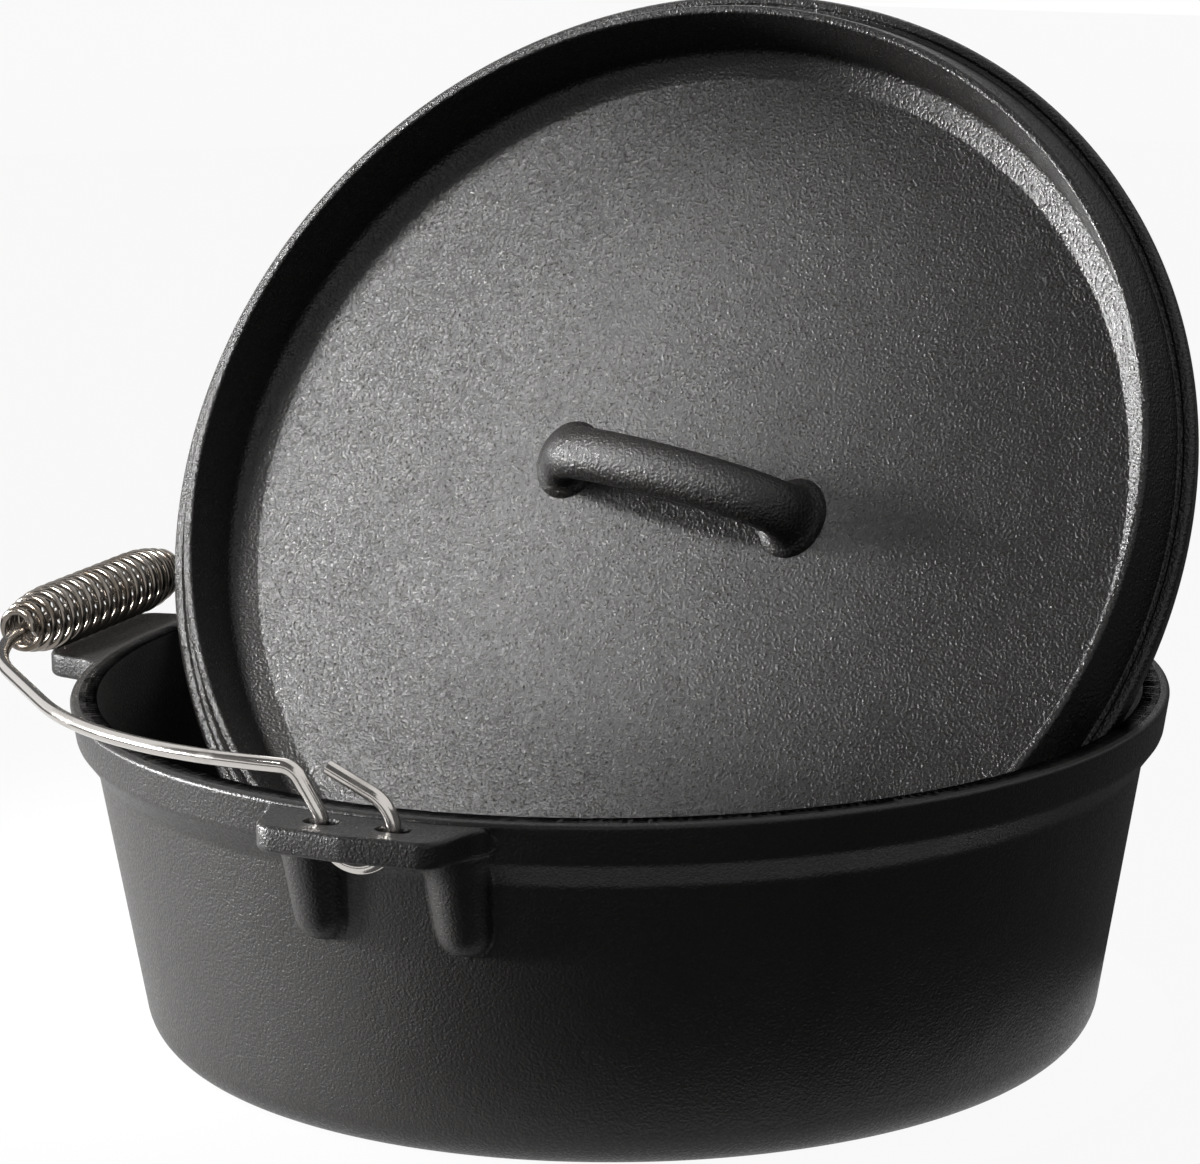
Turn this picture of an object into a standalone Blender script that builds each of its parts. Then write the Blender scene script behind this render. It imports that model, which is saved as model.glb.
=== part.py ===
"""Flat-bottom cast-iron dutch oven: pot, dished lid, wire bail and coil grip.

Metres, +Z up. The origin is the centre of the pot's flat base. The two ears stand on
the Y axis and the bail turns about a line through them, parallel to Y. The bail lies
down on the -X side, on a tab of the rim. The lid stands in the pot, leaning back
towards +Y, with the edge of its rim against the inner edge of the pot's mouth.
"""
import math

import bpy
from mathutils import Matrix, Vector

# Pot, turned about Z
POT_HEIGHT = 0.0991
RIM_RADIUS = 0.155
LIP_WIDTH = 0.0077
LIP_HEIGHT = 0.0108
LIP_DRAFT = 0.0017
LIP_CHAMFER = 0.0073
BASE_INSET = 0.0208
WALL_SLOPE = 0.168
WALL_THICKNESS = 0.0045
FLOOR_THICKNESS = 0.0052
BASE_FILLET = 0.0126
FLOOR_FILLET = 0.0100
MOUTH_DEPTH = 0.0160
EDGE_ROUND = 0.0010

# Ears and rest tab, flat plates level with the lip
EAR_REACH = 0.0180
EAR_ROOT_HALF = 0.0302
EAR_TIP_HALF = 0.0256
TAB_REACH = 0.0190
TAB_ROOT_HALF = 0.0325
TAB_TIP_HALF = 0.0282
EAR_THICKNESS = 0.0073
EAR_DROP = 0.0010
EAR_CORNER = 0.0075
EAR_ROOT_FILLET = 0.0080
EAR_SPREAD = 0.0150
EAR_EDGE = 0.0009

# Tapered pegs that carry each ear
PEG_OFFSET = 0.0205
PEG_TOP_RADIUS = 0.0092
PEG_FOOT_RADIUS = 0.0062
PEG_HEIGHT = 0.0300
PEG_ROUND = 0.0030
PEG_ROOT = 0.0025

# Lid, turned about its own axis, with z = 0 on the face that sits on the pot's rim
LID_OVERHANG = 0.0012
LEDGE_HEIGHT = 0.0053
LEDGE_ROUND = 0.0016
FLANGE_HEIGHT = 0.0183
LEDGE_WIDTH = 0.0099
FLANGE_WIDTH = 0.0024
FLANGE_SPREAD = 0.0049
GROOVE_WIDTH = 0.0014
GROOVE_DEPTH = 0.0007
FIELD_DEPTH = 0.0077
FIELD_FILLET = 0.0075
FLANGE_INNER_DRAFT = 0.0022
PLATE_THICKNESS = 0.0050
PLUG_CLEARANCE = 0.0009
PLUG_DRAFT = 0.0039
PLUG_ROUND = 0.0080

# Loop handle cast on the lid
HANDLE_HALF_SPAN = 0.0370
HANDLE_HEIGHT = 0.0212
HANDLE_HALF_WIDTH = 0.0079
HANDLE_HALF_THICKNESS = 0.0058
HANDLE_ROOT_FLARE = 0.10
HANDLE_SQUARENESS = 0.56
HANDLE_SINK = 0.0025
HANDLE_ALONG = -0.0013
HANDLE_UP = 0.0042
HANDLE_TURN = math.radians(-9.8)

# How the lid stands in the pot's mouth
LID_LEAN = math.radians(59.6)
LID_BACK = 0.0095

# Bail: its ring goes down one hole of the ear and up the other
WIRE_RADIUS = 0.0020
RING_RADIUS = 0.0102
RING_DROP = 0.0016
RING_INSET = 0.0106
TAIL_ANGLE = math.radians(65.0)
TAIL_LENGTH = 0.0135
HOLE_CLEARANCE = 0.0006
HOLE_PLAY = 0.0024
WEB_HALF = 0.0056
WEB_CHAMFER = 0.0016
LEG_RISE = 0.0125
LEG_LEAN = 0.0075
FOOT_KINK = 0.0020
LEG_BEND = 0.0060
KNEE_X = 0.0745
KNEE_SPREAD = 0.0021
KNEE_RADIUS = 0.1330
CORNER_Y = 0.0630
CORNER_RADIUS = 0.1000
WIRE_BOW = 0.0008

# Coil grip, a barrel-shaped spring on the straight middle of the bail
GRIP_LENGTH = 0.0900
GRIP_RADIUS = 0.0096
GRIP_END_RADIUS = 0.0060
GRIP_TAPER = 0.0210
COIL_WIRE_RADIUS = 0.0012
COIL_TURNS = 18
COIL_POINTS = 12
COIL_END_CROWDING = 0.20
GRIP_INSET = 0.0028
SEAT_GAP = 0.0003

# How finely round shapes are divided
TURN_STEPS = 72
PEG_STEPS = 20
HANDLE_STATIONS = 26
HANDLE_STEPS = 16
ARC_ERROR = 0.00015
SHARP_ANGLE = math.radians(35)

MOUTH_RADIUS = RIM_RADIUS - LIP_WIDTH
BASE_RADIUS = RIM_RADIUS - BASE_INSET
LID_RADIUS = RIM_RADIUS + LID_OVERHANG
FLANGE_OUTER = LID_RADIUS - LEDGE_WIDTH
FLANGE_INNER = FLANGE_OUTER - FLANGE_WIDTH
FLANGE_FOOT = FLANGE_OUTER + FLANGE_SPREAD
EAR_TOP = POT_HEIGHT - EAR_DROP
EAR_BOTTOM = EAR_TOP - EAR_THICKNESS
EAR_MIDDLE = EAR_THICKNESS / 2
EAR_EDGE_RADIUS = RIM_RADIUS + EAR_REACH
RING_Y = EAR_EDGE_RADIUS - RING_INSET
KNEE_Y = RING_Y + KNEE_SPREAD
GRIP_OUT = RIM_RADIUS + TAB_REACH - GRIP_INSET
HINGE_Z = POT_HEIGHT - RING_DROP
GRIP_Z = EAR_TOP + SEAT_GAP + GRIP_RADIUS
LEG_Z = LEG_RISE + RING_DROP


def clear_scene():
    for item in list(bpy.data.objects):
        bpy.data.objects.remove(item, do_unlink=True)


def finish(name, colour, roughness, metallic):
    material = bpy.data.materials.new(name)
    material.use_nodes = True
    shader = material.node_tree.nodes["Principled BSDF"]
    shader.inputs["Base Color"].default_value = (*colour, 1.0)
    shader.inputs["Roughness"].default_value = roughness
    shader.inputs["Metallic"].default_value = metallic
    return material


def arc_steps(radius, sweep):
    """Number of chords that keep an arc within ARC_ERROR of its true shape."""
    chord = 2 * math.acos(1 - ARC_ERROR / radius)
    return max(2, math.ceil(abs(sweep) / chord))


def arc_points(centre, radius, start, end):
    steps = arc_steps(radius, end - start)
    points = []
    for step in range(steps + 1):
        angle = start + (end - start) * step / steps
        points.append(Vector((centre.x + radius * math.cos(angle),
                              centre.y + radius * math.sin(angle))))
    return points


def rounded(corners, closed=False):
    """Points of an outline whose corners (x, y, radius) are turned into arcs."""
    points = []
    count = len(corners)
    for index, (x, y, radius) in enumerate(corners):
        here = Vector((x, y))
        at_end = not closed and index in (0, count - 1)
        if at_end or radius == 0:
            points.append(here)
            continue
        before = Vector(corners[index - 1][:2]) - here
        after = Vector(corners[(index + 1) % count][:2]) - here
        before.normalize()
        after.normalize()
        half = before.angle(after) / 2
        reach = radius / math.tan(half)
        centre = here + (before + after).normalized() * radius / math.sin(half)
        start = here + before * reach - centre
        end = here + after * reach - centre
        sweep = math.atan2(start.x * end.y - start.y * end.x, start.dot(end))
        begin = math.atan2(start.y, start.x)
        points += arc_points(centre, radius, begin, begin + sweep)
    return points


def add_object(name, vertices, faces, material):
    mesh = bpy.data.meshes.new(name)
    mesh.from_pydata([tuple(vertex) for vertex in vertices], [], faces)
    mesh.validate()
    mesh.materials.append(material)
    item = bpy.data.objects.new(name, mesh)
    bpy.context.scene.collection.objects.link(item)
    mesh.shade_smooth()
    mesh.set_sharp_from_angle(angle=SHARP_ANGLE)
    return item


def turned(name, profile, material):
    """Solid turned about Z from a profile that starts and ends on the axis, underside first."""
    first, last = profile[0], profile[-1]
    rings = profile[1:-1]
    vertices = [(0, 0, first.y), (0, 0, last.y)]
    for point in rings:
        for step in range(TURN_STEPS):
            angle = 2 * math.pi * step / TURN_STEPS
            vertices.append((point.x * math.cos(angle), point.x * math.sin(angle), point.y))

    def corner(ring, step):
        return 2 + ring * TURN_STEPS + step % TURN_STEPS

    faces = []
    for step in range(TURN_STEPS):
        faces.append((0, corner(0, step + 1), corner(0, step)))
        faces.append((1, corner(len(rings) - 1, step), corner(len(rings) - 1, step + 1)))
        for ring in range(len(rings) - 1):
            faces.append((corner(ring, step), corner(ring, step + 1),
                          corner(ring + 1, step + 1), corner(ring + 1, step)))
    return add_object(name, vertices, faces, material)


def lofted(name, sections, material):
    """Solid through a list of closed sections with the same number of points."""
    sides = len(sections[0])
    vertices = [point for section in sections for point in section]
    faces = [tuple(reversed(range(sides)))]
    for index in range(len(sections) - 1):
        low, high = index * sides, (index + 1) * sides
        for side in range(sides):
            after = (side + 1) % sides
            faces.append((low + side, low + after, high + after, high + side))
    faces.append(tuple(range(len(vertices) - sides, len(vertices))))
    return add_object(name, vertices, faces, material)


def slab(name, outline, bottom, top, material):
    sections = [[(p.x, p.y, height) for p in outline] for height in (bottom, top)]
    return lofted(name, sections, material)


def guide(item):
    item.hide_render = True
    item.display_type = "WIRE"
    return item


def combine(item, other, operation):
    boolean = item.modifiers.new(f"{operation.lower()} {other.name}", "BOOLEAN")
    boolean.object = guide(other)
    boolean.operation = operation
    boolean.solver = "EXACT"


def wall_radius(height):
    return BASE_RADIUS + WALL_SLOPE * height


def pot_profile():
    lip_foot = POT_HEIGHT - LIP_HEIGHT
    neck = lip_foot - LIP_CHAMFER
    mouth_foot = POT_HEIGHT - MOUTH_DEPTH
    return rounded([
        (0, 0, 0),
        (BASE_RADIUS, 0, BASE_FILLET),
        (wall_radius(neck), neck, 3 * EDGE_ROUND),
        (RIM_RADIUS - LIP_DRAFT, lip_foot, 2 * EDGE_ROUND),
        (RIM_RADIUS, POT_HEIGHT, EDGE_ROUND),
        (MOUTH_RADIUS, POT_HEIGHT, EDGE_ROUND),
        (wall_radius(mouth_foot) - WALL_THICKNESS, mouth_foot, 6 * EDGE_ROUND),
        (wall_radius(FLOOR_THICKNESS) - WALL_THICKNESS, FLOOR_THICKNESS, FLOOR_FILLET),
        (0, FLOOR_THICKNESS, 0),
    ])


def ear_outline(reach, root_half, tip_half):
    """Plan of a plate that points along +Y, closed by an arc inside the pot's lip."""
    edge = RIM_RADIUS + reach
    seam = RIM_RADIUS - LIP_DRAFT
    spread = root_half + EAR_SPREAD
    spread_y = math.sqrt(seam ** 2 - spread ** 2)
    root_y = math.sqrt(seam ** 2 - root_half ** 2)
    tip_y = math.sqrt(edge ** 2 - tip_half ** 2)
    outer = rounded([
        (spread, spread_y, 0),
        (root_half, root_y, EAR_ROOT_FILLET),
        (tip_half, tip_y, EAR_CORNER),
        (0, edge, 0),
        (-tip_half, tip_y, EAR_CORNER),
        (-root_half, root_y, EAR_ROOT_FILLET),
        (-spread, spread_y, 0),
    ])
    lip_middle = (RIM_RADIUS + MOUTH_RADIUS) / 2
    side = math.asin(spread / seam)
    inner = arc_points(Vector((0, 0)), lip_middle, math.pi / 2 + side, math.pi / 2 - side)
    return outer + inner


def ear_plate(name, turn, shape, material):
    plate = slab(name, ear_outline(*shape), EAR_BOTTOM, EAR_TOP, material)
    plate.rotation_euler.z = turn
    bevel = plate.modifiers.new("cast edge", "BEVEL")
    bevel.width = EAR_EDGE
    bevel.segments = 2
    bevel.limit_method = "ANGLE"
    bevel.angle_limit = math.radians(60)
    return plate


def ear_peg(name, side, front, material):
    """Tapered peg under an ear, leaning with the wall; its foot is rounded."""
    foot = -PEG_HEIGHT
    slope = (PEG_TOP_RADIUS - PEG_FOOT_RADIUS) / PEG_HEIGHT
    profile = rounded([
        (0, foot, 0),
        (PEG_FOOT_RADIUS, foot, PEG_ROUND),
        (PEG_TOP_RADIUS, 0, 0),
        (PEG_TOP_RADIUS + slope * EAR_MIDDLE, EAR_MIDDLE, 0),
        (0, EAR_MIDDLE, 0),
    ])
    sections = []
    for point in profile[1:-1]:
        ring = []
        for step in range(PEG_STEPS):
            angle = 2 * math.pi * step / PEG_STEPS
            outward = max(point.x * math.sin(angle) * front, -PEG_ROOT) * front
            ring.append((point.x * math.cos(angle), outward, point.y))
        sections.append(ring)
    peg = lofted(name, sections, material)
    reach = math.sqrt(wall_radius(EAR_BOTTOM) ** 2 - PEG_OFFSET ** 2)
    peg.location = (side * PEG_OFFSET, front * reach, EAR_BOTTOM)
    peg.rotation_euler.x = -front * math.atan(WALL_SLOPE)
    return peg


def ear_hole(name, side, front, material):
    """Slot beside the ear's web; its inner end is flared below so that the ring can turn."""
    outer = RING_RADIUS + WIRE_RADIUS + HOLE_PLAY
    half = WIRE_RADIUS + HOLE_CLEARANCE
    below = (EAR_BOTTOM - EAR_MIDDLE, WEB_HALF - WEB_CHAMFER - EAR_MIDDLE)
    chamfer = (EAR_BOTTOM + WEB_CHAMFER, WEB_HALF)
    above = (EAR_TOP + EAR_MIDDLE, WEB_HALF)
    sections = []
    for height, inner in (below, chamfer, above):
        plan = rounded([
            (inner, -half, WIRE_RADIUS),
            (outer, -half, WIRE_RADIUS),
            (outer, half, WIRE_RADIUS),
            (inner, half, WIRE_RADIUS),
        ], closed=True)
        if side < 0:
            plan = [Vector((-p.x, p.y)) for p in reversed(plan)]
        sections.append([(p.x, front * RING_Y + p.y, height) for p in plan])
    return lofted(name, sections, material)


def make_pot(material):
    pot = turned("pot", pot_profile(), material)
    ear = (EAR_REACH, EAR_ROOT_HALF, EAR_TIP_HALF)
    tab = (TAB_REACH, TAB_ROOT_HALF, TAB_TIP_HALF)
    plates = [("back ear", 0, ear), ("front ear", math.pi, ear), ("rest tab", math.pi / 2, tab)]
    for name, turn, shape in plates:
        combine(pot, ear_plate(name, turn, shape, material), "UNION")
    corners = [("front left", -1, -1), ("front right", 1, -1),
               ("back left", -1, 1), ("back right", 1, 1)]
    for place, side, front in corners:
        combine(pot, ear_peg(f"{place} peg", side, front, material), "UNION")
    for place, side, front in corners:
        combine(pot, ear_hole(f"{place} hole", side, front, material), "DIFFERENCE")
    return pot


def lid_profile():
    field = -FIELD_DEPTH
    underside = field - PLATE_THICKNESS
    plug = MOUTH_RADIUS - PLUG_CLEARANCE
    groove_end = FLANGE_FOOT + GROOVE_WIDTH
    groove_floor = LEDGE_HEIGHT - GROOVE_DEPTH
    return rounded([
        (0, underside, 0),
        (plug - PLUG_DRAFT, underside, PLUG_ROUND),
        (plug, 0, EDGE_ROUND),
        (LID_RADIUS, 0, EDGE_ROUND),
        (LID_RADIUS, LEDGE_HEIGHT, LEDGE_ROUND),
        (groove_end + GROOVE_DEPTH / 2, LEDGE_HEIGHT, 0),
        (groove_end, groove_floor, 0),
        (FLANGE_FOOT, groove_floor, 0),
        (FLANGE_OUTER, FLANGE_HEIGHT, EDGE_ROUND),
        (FLANGE_INNER, FLANGE_HEIGHT, 0.8 * EDGE_ROUND),
        (FLANGE_INNER - FLANGE_INNER_DRAFT, field, FIELD_FILLET),
        (0, field, 0),
    ])


def handle_sections():
    """Oval sections along an arch, sunk into the lid's field at both ends."""
    foot = -FIELD_DEPTH - HANDLE_SINK
    crown = HANDLE_HEIGHT - HANDLE_HALF_THICKNESS + HANDLE_SINK
    path = []
    for station in range(HANDLE_STATIONS + 1):
        angle = math.pi * station / HANDLE_STATIONS
        rise = crown * abs(math.sin(angle)) ** HANDLE_SQUARENESS
        path.append(Vector((HANDLE_HALF_SPAN * math.cos(angle), foot + rise)))
    sections = []
    for station, point in enumerate(path):
        along = path[min(station + 1, HANDLE_STATIONS)] - path[max(station - 1, 0)]
        if station == 0:
            along = Vector((0, 1))
        if station == HANDLE_STATIONS:
            along = Vector((0, -1))
        along.normalize()
        lowness = 1 - (point.y - foot) / crown
        flare = 1 + HANDLE_ROOT_FLARE * lowness ** 2
        section = []
        for step in range(HANDLE_STEPS):
            turn = 2 * math.pi * step / HANDLE_STEPS
            across = HANDLE_HALF_WIDTH * flare * math.cos(turn)
            out = HANDLE_HALF_THICKNESS * flare * math.sin(turn)
            section.append((point.x + along.y * out, across, point.y - along.x * out))
        sections.append(section)
    return sections


def lid_place():
    """Centre of the lid's seating face, with its rim wedged between the mouth's sides.

    The seating face crosses the plane of the mouth along a line LID_BACK behind the
    middle, where the mouth is as wide as the lid is at that height.
    """
    half_width = math.sqrt((MOUTH_RADIUS - SEAT_GAP) ** 2 - LID_BACK ** 2)
    up_slope = math.sqrt(LID_RADIUS ** 2 - half_width ** 2)
    back = LID_BACK + up_slope * math.cos(LID_LEAN)
    return 0, back, POT_HEIGHT + up_slope * math.sin(LID_LEAN)


def make_lid(material):
    lid = turned("lid", lid_profile(), material)
    handle = lofted("lid handle", handle_sections(), material)
    lid.rotation_euler.x = LID_LEAN
    lid.location = lid_place()
    handle.parent = lid
    shift = Matrix.Translation((HANDLE_ALONG, HANDLE_UP, 0))
    handle.matrix_local = Matrix.Rotation(HANDLE_TURN, 4, "Z") @ shift
    combine(lid, handle, "UNION")
    return lid


def front_ring():
    """Front ring and the foot of its leg, as (x, z) from the hinge axis, tail end first."""
    ring = arc_points(Vector((0, 0)), RING_RADIUS, TAIL_ANGLE, -math.pi)
    tail_way = Vector((-math.sin(TAIL_ANGLE), math.cos(TAIL_ANGLE)))
    tail = ring[0] + tail_way * TAIL_LENGTH
    foot = rounded([
        (-RING_RADIUS, 0, 0),
        (-RING_RADIUS, FOOT_KINK, LEG_BEND),
        (-RING_RADIUS - LEG_LEAN, LEG_Z, LEG_BEND),
        (-RING_RADIUS - LEG_LEAN - 2 * LEG_BEND, LEG_Z, 0),
    ])
    return [tail] + ring + foot[1:]


def bail_leg():
    """Front half of the bail in plan, from the ring's plane to the middle of the grip."""
    middle_x = -GRIP_OUT - WIRE_BOW
    return rounded([
        (-RING_RADIUS, -RING_Y, 0),
        (-KNEE_X, -KNEE_Y, KNEE_RADIUS),
        (middle_x, -CORNER_Y, CORNER_RADIUS),
        (middle_x, 0, 0),
    ])


def bail_path():
    """Centre line of the whole bail, front tail to back tail, relative to the hinge axis."""
    ring = front_ring()
    start_x = ring[-1].x
    grip_z = GRIP_Z - HINGE_Z
    front = [Vector((p.x, -RING_Y, p.y)) for p in ring]
    for point in bail_leg():
        if point.x > start_x - WIRE_RADIUS:
            continue
        share = (start_x - point.x) / (start_x + GRIP_OUT)
        front.append(Vector((point.x, point.y, LEG_Z + (grip_z - LEG_Z) * share)))
    back = [Vector((p.x, -p.y, p.z)) for p in reversed(front[:-1])]
    return front + back


def wire(name, points, radius, resolution, material):
    curve = bpy.data.curves.new(name, "CURVE")
    curve.dimensions = "3D"
    curve.bevel_depth = radius
    curve.bevel_resolution = resolution
    curve.use_fill_caps = True
    spline = curve.splines.new("POLY")
    spline.points.add(len(points) - 1)
    for slot, point in zip(spline.points, points):
        slot.co = (*point, 1.0)
    spline.use_smooth = True
    curve.materials.append(material)
    item = bpy.data.objects.new(name, curve)
    bpy.context.scene.collection.objects.link(item)
    return item


def make_bail(material):
    bail = wire("bail", bail_path(), WIRE_RADIUS, 2, material)
    bail.location.z = HINGE_Z
    return bail


def coil_points():
    """Centre line of the barrel spring about Y, with closer turns at its ends."""
    half = GRIP_LENGTH / 2 - COIL_WIRE_RADIUS
    count = COIL_TURNS * COIL_POINTS
    points = []
    for index in range(count + 1):
        share = 2 * index / count - 1
        eased = math.sin(share * math.pi / 2)
        place = half * (share + COIL_END_CROWDING * (eased - share))
        from_end = min((GRIP_LENGTH / 2 - abs(place)) / GRIP_TAPER, 1.0)
        swell = math.sin(from_end * math.pi / 2)
        radius = GRIP_END_RADIUS + (GRIP_RADIUS - GRIP_END_RADIUS) * swell - COIL_WIRE_RADIUS
        angle = 2 * math.pi * index / COIL_POINTS
        points.append(Vector((radius * math.cos(angle), place, radius * math.sin(angle))))
    first_way = (points[0] - points[1]).normalized()
    last_way = (points[-1] - points[-2]).normalized()
    diameter = 2 * COIL_WIRE_RADIUS
    return [points[0] + first_way * diameter] + points + [points[-1] + last_way * diameter]


def least_gap(points, diameter, skip):
    """Least clear distance between turns, measured on the centre line's points."""
    least = math.inf
    for index, point in enumerate(points):
        for other in points[index + skip:]:
            least = min(least, (point - other).length)
    return least - diameter


def make_grip(bail, material):
    points = coil_points()
    gap = least_gap(points, 2 * COIL_WIRE_RADIUS, COIL_POINTS // 2 + 1)
    print(f"grip spring: {COIL_TURNS} turns, least gap between turns {gap * 1000:.2f} mm")
    grip = wire("grip_spring", points, COIL_WIRE_RADIUS, 1, material)
    grip.parent = bail
    grip.location = (-GRIP_OUT, 0, GRIP_Z - HINGE_Z)
    return grip


def main():
    clear_scene()
    iron = finish("seasoned cast iron", (0.030, 0.029, 0.028), 0.55, 0.6)
    steel = finish("bright steel wire", (0.62, 0.60, 0.57), 0.18, 1.0)
    make_pot(iron)
    make_lid(iron)
    bail = make_bail(steel)
    make_grip(bail, steel)


main()
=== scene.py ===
# %% [markdown]
# # A flat-bottom dutch oven in cast iron
#
# The oven is four real pieces: a pot with two ears and a rest tab, a dished lid with a
# loop handle, a wire bail, and a barrel-shaped coil that slides on the bail as a grip.
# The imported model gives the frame, and every piece below rides on one of its bodies.
# Lengths are in metres and angles in radians, +Z is up, the ears stand on the Y axis,
# and the bail lies down on the -X side.

# %% Load the frame
import math

import bpy
import numpy as np
from mathutils import Matrix, Quaternion, Vector


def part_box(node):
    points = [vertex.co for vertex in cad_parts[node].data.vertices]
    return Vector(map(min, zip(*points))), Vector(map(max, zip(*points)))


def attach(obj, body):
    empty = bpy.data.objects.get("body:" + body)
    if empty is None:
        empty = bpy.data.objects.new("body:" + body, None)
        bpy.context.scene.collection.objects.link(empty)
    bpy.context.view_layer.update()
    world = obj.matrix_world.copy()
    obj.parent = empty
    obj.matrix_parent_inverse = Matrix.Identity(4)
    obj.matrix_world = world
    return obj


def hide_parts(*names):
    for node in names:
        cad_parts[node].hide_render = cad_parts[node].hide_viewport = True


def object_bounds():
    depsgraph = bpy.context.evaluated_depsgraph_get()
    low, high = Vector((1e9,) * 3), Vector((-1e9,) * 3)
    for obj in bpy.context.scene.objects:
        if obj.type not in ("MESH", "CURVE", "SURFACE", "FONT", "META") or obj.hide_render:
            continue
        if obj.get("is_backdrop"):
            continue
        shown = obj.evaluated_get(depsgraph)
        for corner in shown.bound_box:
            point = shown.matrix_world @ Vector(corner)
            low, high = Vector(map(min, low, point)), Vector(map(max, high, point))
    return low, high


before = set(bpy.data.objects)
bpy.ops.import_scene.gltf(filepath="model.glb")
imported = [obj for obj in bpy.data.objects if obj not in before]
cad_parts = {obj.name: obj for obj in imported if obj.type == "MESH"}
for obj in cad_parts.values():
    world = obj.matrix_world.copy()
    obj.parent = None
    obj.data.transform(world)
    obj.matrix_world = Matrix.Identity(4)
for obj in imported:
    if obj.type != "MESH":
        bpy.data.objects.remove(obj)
cad_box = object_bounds()
scene = bpy.context.scene
scene.view_settings.view_transform = "Standard"

# %% [markdown]
# ## Camera
#
# A long lens from a little above the rim keeps the ellipses of the rim and the lid calm.
# The camera is placed by turning round an aim point on the lid, so that three plain
# numbers (azimuth, elevation, distance) say where it stands. A fraction of a degree of
# roll levels the rim as the photographer had it.

# %% Camera
AIM = Vector((0, -0.0126, 0.1296))
AZIMUTH = math.radians(24.24)
ELEVATION = math.radians(12.55)
DISTANCE = 1.24
ROLL = math.radians(-0.646)
LENS = 133.12

camera_data = bpy.data.cameras.new("camera")
camera_data.lens = LENS
camera_data.sensor_width = 36
camera = bpy.data.objects.new("camera", camera_data)
scene.collection.objects.link(camera)
back = Vector((
    math.sin(AZIMUTH) * math.cos(ELEVATION),
    -math.cos(AZIMUTH) * math.cos(ELEVATION),
    math.sin(ELEVATION),
))
camera.location = AIM + back * DISTANCE
camera.rotation_mode = "QUATERNION"
camera.rotation_quaternion = (-back).to_track_quat("-Z", "Y") @ Quaternion((0, 0, 1), ROLL)
scene.camera = camera
print("camera at", [round(value, 3) for value in camera.location])

# %% [markdown]
# ## Writing shaders as sums
#
# A shader graph is maths, and maths reads best as an expression. `Value` wraps one
# output socket and turns +, - and * into Math nodes. `Recipe` holds the node tree of a
# material, or of the world, and adds any other node: its settings are set first, because
# they decide which sockets the node has, and then its inputs are set or linked.

# %% Shader helpers
class Value:
    """An output socket that can be used in sums with numbers and other values."""

    def __init__(self, recipe, socket):
        self.recipe = recipe
        self.socket = socket

    def math(self, operation, *others):
        inputs = dict(enumerate((self, *others)))
        return self.recipe.node("ShaderNodeMath", {"operation": operation}, inputs)

    def __add__(self, other):
        return self.math("ADD", other)

    def __mul__(self, other):
        return self.math("MULTIPLY", other)

    def __sub__(self, other):
        return self.math("SUBTRACT", other)

    def __rsub__(self, other):
        return self * -1 + other

    __radd__ = __add__
    __rmul__ = __mul__

    def ramp(self, low, high):
        """0 below low, 1 above high, and a soft step between."""
        settings = {"interpolation_type": "SMOOTHSTEP"}
        inputs = {"Value": self, "From Min": low, "From Max": high}
        return self.recipe.node("ShaderNodeMapRange", settings, inputs)


class Recipe:
    """The shader of a material or the world, and the nodes that feed it."""

    def __init__(self, name, world=None, **plain):
        self.holder = world or bpy.data.materials.new(name)
        self.holder.use_nodes = True
        self.tree = self.holder.node_tree
        self.shader = self.tree.nodes["Background" if world else "Principled BSDF"]
        self.finish(**plain)

    def feed(self, socket, value):
        if isinstance(value, Value):
            self.tree.links.new(value.socket, socket)
        else:
            socket.default_value = value

    def node(self, kind, settings=None, inputs=None, output=0):
        made = self.tree.nodes.new(kind)
        for name, setting in (settings or {}).items():
            setattr(made, name, setting)
        for name, value in (inputs or {}).items():
            self.feed(made.inputs[name], value)
        return Value(self, made.outputs[output])

    def place(self):
        """Position on the piece, in metres; it rides with the piece."""
        return self.node("ShaderNodeTexCoord", output="Object")

    def noise(self, where, size, detail=2.0, roughness=0.5):
        """Cloudy pattern from 0 to 1 whose blobs are about `size` metres across."""
        inputs = {"Vector": where, "Scale": 1 / size, "Detail": detail, "Roughness": roughness}
        return self.node("ShaderNodeTexNoise", None, inputs)

    def mixed(self, amount, first, second):
        """Blend of two colours by a value from 0 to 1."""
        inputs = {0: amount, 6: first, 7: second}
        return self.node("ShaderNodeMix", {"data_type": "RGBA"}, inputs, output=2)

    def seen_by(self, *rays):
        """1 for the named kinds of ray, and 0 for all others."""
        kinds = [self.node("ShaderNodeLightPath", output=f"Is {ray} Ray") for ray in rays]
        total = kinds[0]
        for kind in kinds[1:]:
            total = total.math("MAXIMUM", kind)
        return total

    def show(self, amount, other):
        """Shows another shader in the place of this one, by an amount from 0 to 1."""
        own = Value(self, self.shader.outputs[0])
        both = self.node("ShaderNodeMixShader", None, {0: amount, 1: own, 2: other})
        self.feed(self.tree.nodes["Material Output"].inputs["Surface"], both)
        return self.holder

    def finish(self, **sockets):
        """Sets or links sockets of the shader, with _ for each space in their names."""
        for socket, value in sockets.items():
            self.feed(self.shader.inputs[socket.replace("_", " ")], value)
        return self.holder
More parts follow.
